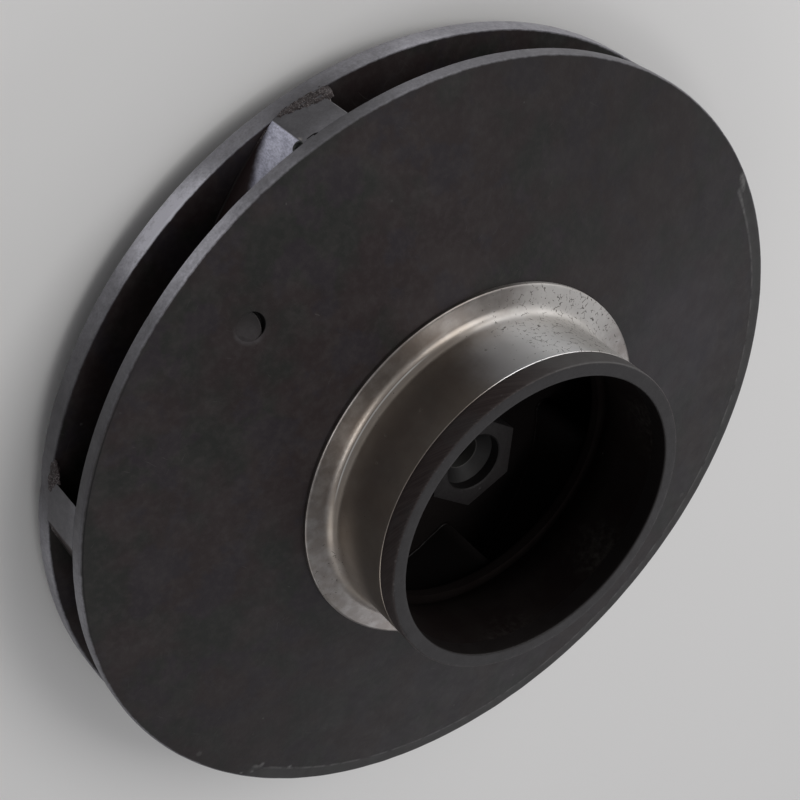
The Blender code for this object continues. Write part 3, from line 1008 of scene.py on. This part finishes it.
RING_FLANGE_RADIUS = ring_high.x
RING_FILLET = 0.0032
STEEL = (0.25, 0.228, 0.215)
STEEL_BRIGHT = (0.345, 0.328, 0.314)
STEEL_STAINED = (0.25, 0.205, 0.165)
STEEL_PIT = (0.04, 0.03, 0.022)
SPECKED_SIDE = (0.026, -0.036, 0.045)
SPECKED_FOOT = (0.002, 0.0455, 0.034)
SHADED_SPOT = (0.044, -0.007, 0.035)
REFLECTION_SPOT = (0.038, -0.015, 0.051)
DOUBLE_HIGHLIGHT_SIDE = (0.036, 0.022, 0.034)


def ring_section(angle):
    """The sheet's section: sleeve, fillet, and a flange that follows the shroud's cone."""
    slope = atan(CONE_RISE)
    sheet = RING_SHEET / cos(slope)
    outer, top = RING_SLEEVE_RADIUS, SLEEVE_END_Z
    inner = outer - RING_SHEET
    centre_radius = outer + RING_FILLET
    centre_z = cone_z(centre_radius) + 0.0003 + sheet + RING_FILLET / cos(slope)
    turn = 270 - slope * 180 / pi
    end = RING_FLANGE_RADIUS
    section = [(inner, top), (outer - 0.00012, top), (outer, top - 0.00012), (outer, top - 0.001)]
    section += spaced((outer, top - 0.004), (outer, centre_z + 0.0006), 3)
    section += arc((centre_radius, centre_z), RING_FILLET, 180, turn, 14)
    section += [(end - 0.0006, cone_z(end - 0.0006) + 0.0003 + sheet)]
    section += [(end - 0.00015, cone_z(end) + 0.0003 + sheet), (end, cone_z(end) + 0.00015 + sheet)]
    section += [(end, cone_z(end) + 0.00002), (end - 0.0006, cone_z(end - 0.0006) + 0.00002)]
    section += arc((centre_radius, centre_z), RING_FILLET + RING_SHEET, turn, 180, 8)
    return section


def speckled_steel(name):
    """Dull pressed stainless: specked on one side and paler there, partly as painted highlight,
    painted shade beside it, stained and brightened as painted reflection on the sleeve, with a painted
    bright spot, curly scratches and a painted double highlight in the fillet."""
    material, shader, place = new_finish(name)
    radius = from_axis(place)
    sleeve = 1 - step(radius, 0.041, 0.044)
    wander = 0.006 * grain(place, 0.006, 3.0)
    crowd = within(place, SPECKED_SIDE, 0.02, 0.038, wander)
    crowd = crowd + 0.5 * within(place, SPECKED_FOOT, 0.008, 0.017, wander)

    sockets = {"Vector": place, "Scale": 420.0, "Detail": 2.0}
    warp = place.node("ShaderNodeTexNoise", {}, sockets, "Color")
    bent = place.vector("ADD", warp.vector("MULTIPLY", (0.0016, 0.0016, 0.0016)))
    sockets = {"Vector": bent, "Scale": 520.0}
    cells = place.node("ShaderNodeTexVoronoi", {"feature": "DISTANCE_TO_EDGE"}, sockets)
    broken = step(grain(place, 0.0013, 3.0) + 0.16 * crowd, 0.66, 0.72)
    curls = (1 - step(cells, 0.015, 0.05)) * broken
    pits = specks(place, 0.0013, 0.06) + specks(place, 0.0032, 0.08)
    pits = pits + specks(place, 0.0012, 0.36) * crowd
    dots = within(place, (0.0389, 0.0121, 0.0454), 0.0003, 0.0005)
    dots = dots + within(place, (0.04, -0.0078, 0.0436), 0.00025, 0.00042)
    dark = step(curls + pits * 0.8 + dots, 0.0, 1.0)

    colour = mix(step(grain(place, 0.0032, 5.0), 0.36, 0.7), STEEL, STEEL_BRIGHT)
    stain = step(grain(place, 0.01, 4.0) + 0.2 * sleeve, 0.44, 0.8) * (1 - crowd)
    colour = mix(stain * 0.5, colour, STEEL_STAINED)
    # The sleeve is tinted warm brown as a stain and made paler as a painted reflection.
    colour = mix(sleeve * 0.55 * (1 - crowd), colour, (0.52, 0.45, 0.385))
    # Paler on the specked side: partly the etched surface, partly a painted highlight.
    pale = within(place, SPECKED_SIDE, 0.016, 0.032, wander)
    colour = mix(pale * 0.7, colour, (0.66, 0.645, 0.625))
    # Painted shade: darker beside the specked side, away from the sleeve.
    painted_shade = within(place, SHADED_SPOT, 0.01, 0.026) * (1 - 0.7 * sleeve)
    colour = mix(painted_shade * 0.5, colour, (0.12, 0.107, 0.097))
    # Painted reflection: a near-white bright spot on the sleeve.
    clear = within(place, REFLECTION_SPOT, 0.01, 0.022, wander)
    colour = mix(clear * sleeve, colour, (0.9, 0.9, 0.9))
    # Painted highlight: a bright line in the fillet with a painted dark gap beside it, as a double
    # highlight.
    pressed = within(place, DOUBLE_HIGHLIGHT_SIDE, 0.014, 0.022)
    painted_highlight_line = pressed * stripe(radius, 0.04146, 0.04152, 0.04166, 0.04172)
    highlight_gap_line = pressed * stripe(radius, 0.04174, 0.04178, 0.04186, 0.0419)
    colour = mix(painted_highlight_line * 0.8, colour, (0.85, 0.83, 0.8))
    dark = step(dark + highlight_gap_line * 0.5, 0.0, 1.0)
    mix(dark * 0.85, colour, STEEL_PIT).into(shader, "Base Color")

    rough = 0.25 + 0.05 * grain(place, 0.0009, 4.0) + 0.1 * grain(place, 0.005, 4.0)
    (rough + dark * 0.25 + crowd * 0.18).into(shader, "Roughness")
    (1 - dark * 0.7 - crowd * 0.2).into(shader, "Metallic")
    waves = grain(place, 0.0005, 4.0) * 0.2 + grain(place, 0.0022, 2.0) * 0.6
    emboss(shader, waves - dark * 0.5, 0.00003)
    return material


steel = speckled_steel("speckled_stainless")
wear_ring = lathe("pressed_ring", ring_section, 384, steel)
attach(wear_ring, "root")
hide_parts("wear_ring")


# Eye lip: the thick end of the neck, formed over the ring's edge. The casing has rubbed
# its outer band brown with short slanting marks; its front face is an even grey.

LIP_TOP_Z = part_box("eye_lip")[1].z
LIP_RUB_TWIST = 36.0
LIP_EDGE = (RING_SLEEVE_RADIUS - 0.0002, LIP_TOP_Z - 0.0002, 0)
LIP_REFLECTION_SIDE = (0.029, -0.0285, 0.0566)


def lip_section(angle):
    """A thick ring whose outer edge is unevenly worn and nicked in one place."""
    outer = RING_SLEEVE_RADIUS
    nick = 0.00045 * near(angle, 93.0, 5.0) * (0.6 + ripple(angle, 200, 12.0))
    worn = 0.0004 + 0.0001 * ripple(angle, 90, 9.0)
    worn += 0.0003 * max(0, ripple(angle, 150, 10.0) - 0.35) + max(0, nick)
    soft = 0.0004
    section = [(outer - 0.0001, SLEEVE_END_Z), (outer, SLEEVE_END_Z + 0.00015)]
    section += [(outer, SLEEVE_END_Z + 0.001), (outer, LIP_TOP_Z - 0.0016)]
    section += arc((outer - worn, LIP_TOP_Z - worn), worn, 0, 90, 5)
    section += [(outer - 0.0012, LIP_TOP_Z), (EYE_RADIUS + 0.0009, LIP_TOP_Z)]
    section += arc((EYE_RADIUS + soft, LIP_TOP_Z - soft), soft, 90, 180, 4)
    section += [(EYE_RADIUS, LIP_TOP_Z - 0.001), (EYE_RADIUS, SLEEVE_END_Z)]
    return section


def rubbed_plastic(name):
    """Grey front face, brown rubbed band with slanting marks and a painted reflection on one side,
    dark inner edge.
    """
    material, shader, place = new_finish(name, 0.3)
    radius = from_axis(place)
    height = coordinate(place, "Z")
    rubs = grain(rotated(place, height * LIP_RUB_TWIST), 0.00055, 2.0, (1, 1, 9))
    mottle = step(grain(place, 0.0009, 4.0), 0.3, 0.8)
    face = mix(mottle, (0.0225, 0.0205, 0.0212), (0.03, 0.028, 0.029))
    face = mix(step(grain(place, 0.01, 3.0), 0.46, 0.7) * 0.3, face, (0.04, 0.038, 0.04))
    band = mix(step(rubs, 0.36, 0.66), (0.0225, 0.015, 0.0142), (0.04, 0.03, 0.0288))
    band = mix(step(grain(place, 0.006, 3.0), 0.48, 0.66) * 0.5, band, (0.036, 0.033, 0.033))
    # Painted reflection: the band is grey on the side that faces the low right light.
    grey = within(place, LIP_REFLECTION_SIDE, 0.008, 0.03) * (0.4 + 0.6 * grain(place, 0.003, 3.0))
    band = mix(grey, band, (0.09, 0.088, 0.088))
    on_band = step(radius, RING_SLEEVE_RADIUS - 0.0004, RING_SLEEVE_RADIUS - 0.00012)
    inside = 1 - step(radius, EYE_RADIUS + 0.00005, EYE_RADIUS + 0.0004)
    colour = mix(inside, mix(on_band, face, band), (0.006, 0.0042, 0.004))
    section_place = radius.node("ShaderNodeCombineXYZ", {}, {"X": radius, "Y": height})
    edge = within(section_place, LIP_EDGE, 0.00025, 0.0007)
    bits = specks(place, 0.0024, 0.05) + edge * step(grain(place, 0.0008, 3.0), 0.56, 0.68) * 0.5
    mix(bits * 0.6, colour, (0.12, 0.115, 0.118)).into(shader, "Base Color")
    emboss(shader, grain(place, 0.0006, 4.0) * 0.6 + rubs * on_band * 0.35, 0.00005)
    (0.42 + 0.18 * grain(place, 0.004)).into(shader, "Roughness")
    return material


lip_plastic = rubbed_plastic("rubbed_lip_plastic")
eye_lip = lathe("neck_lip", lip_section, 576, lip_plastic)
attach(eye_lip, "root")
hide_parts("eye_lip")


# Stage: a pale matt floor, five soft rectangular lights under a faint even sky, and the
# camera, which stands where the photograph was taken from.

FLOOR_HALF = 8.0
LIGHTS_AIM = Vector((0, 0, 0.03))

bm = bmesh.new()
bmesh.ops.create_grid(bm, x_segments=1, y_segments=1, size=FLOOR_HALF)
floor_material, floor_shader, floor_place = new_finish("pale_floor", roughness=0.85)
floor_colour = mix(grain(floor_place, 0.25, 3.0), (0.79, 0.787, 0.78), (0.82, 0.818, 0.812))
floor_colour.into(floor_shader, "Base Color")
floor = shaped("floor", bm, floor_material)

world = bpy.data.worlds.new("studio")
world.use_nodes = True
sky = world.node_tree.nodes["Background"].inputs
sky["Color"].default_value = (0.97, 0.97, 1.0, 1.0)
sky["Strength"].default_value = 0.25
bpy.context.scene.world = world


def soft_light(name, azimuth, elevation, distance, size, power, colour):
    """Adds a rectangular soft light that faces the part."""
    data = bpy.data.lights.new(name, "AREA")
    data.shape = "RECTANGLE"
    data.size, data.size_y = size
    data.energy = power
    data.color = colour
    light = bpy.data.objects.new(name, data)
    a, e = radians(azimuth), radians(elevation)
    way = Vector((cos(a) * cos(e), sin(a) * cos(e), sin(e)))
    light.location = way * distance + LIGHTS_AIM
    aim = LIGHTS_AIM - light.location
    light.rotation_euler = aim.to_track_quat("-Z", "Y").to_euler()
    bpy.context.scene.collection.objects.link(light)


soft_light("overhead_light", -57, 54, 1.2, (0.7, 0.7), 4.4, (1.0, 0.99, 0.98))
soft_light("left_overhead_light", 80, 70, 1.2, (0.35, 0.35), 1.3, (1.0, 0.99, 0.98))
soft_light("right_light", -72, 12, 0.9, (1.0, 0.36), 2.5, (1.0, 0.98, 0.96))
soft_light("rear_strip_light", 205, 28, 1.2, (1.4, 0.3), 1.9, (0.97, 0.97, 1.0))
soft_light("left_light", 125, 30, 1.1, (0.7, 0.5), 0.9, (1.0, 0.99, 0.97))

camera_data = bpy.data.cameras.new("camera")
camera_data.lens = 78.73
camera_data.sensor_width = 36.0
camera_data.clip_start = 0.01
camera = bpy.data.objects.new("camera", camera_data)
camera.location = (0.30775, 0.10472, 0.29266)
camera.rotation_euler = (radians(-36.1707), radians(-34.427), radians(-108.9645))
bpy.context.scene.collection.objects.link(camera)
bpy.context.scene.camera = camera
bpy.context.scene.view_settings.view_transform = "Standard"
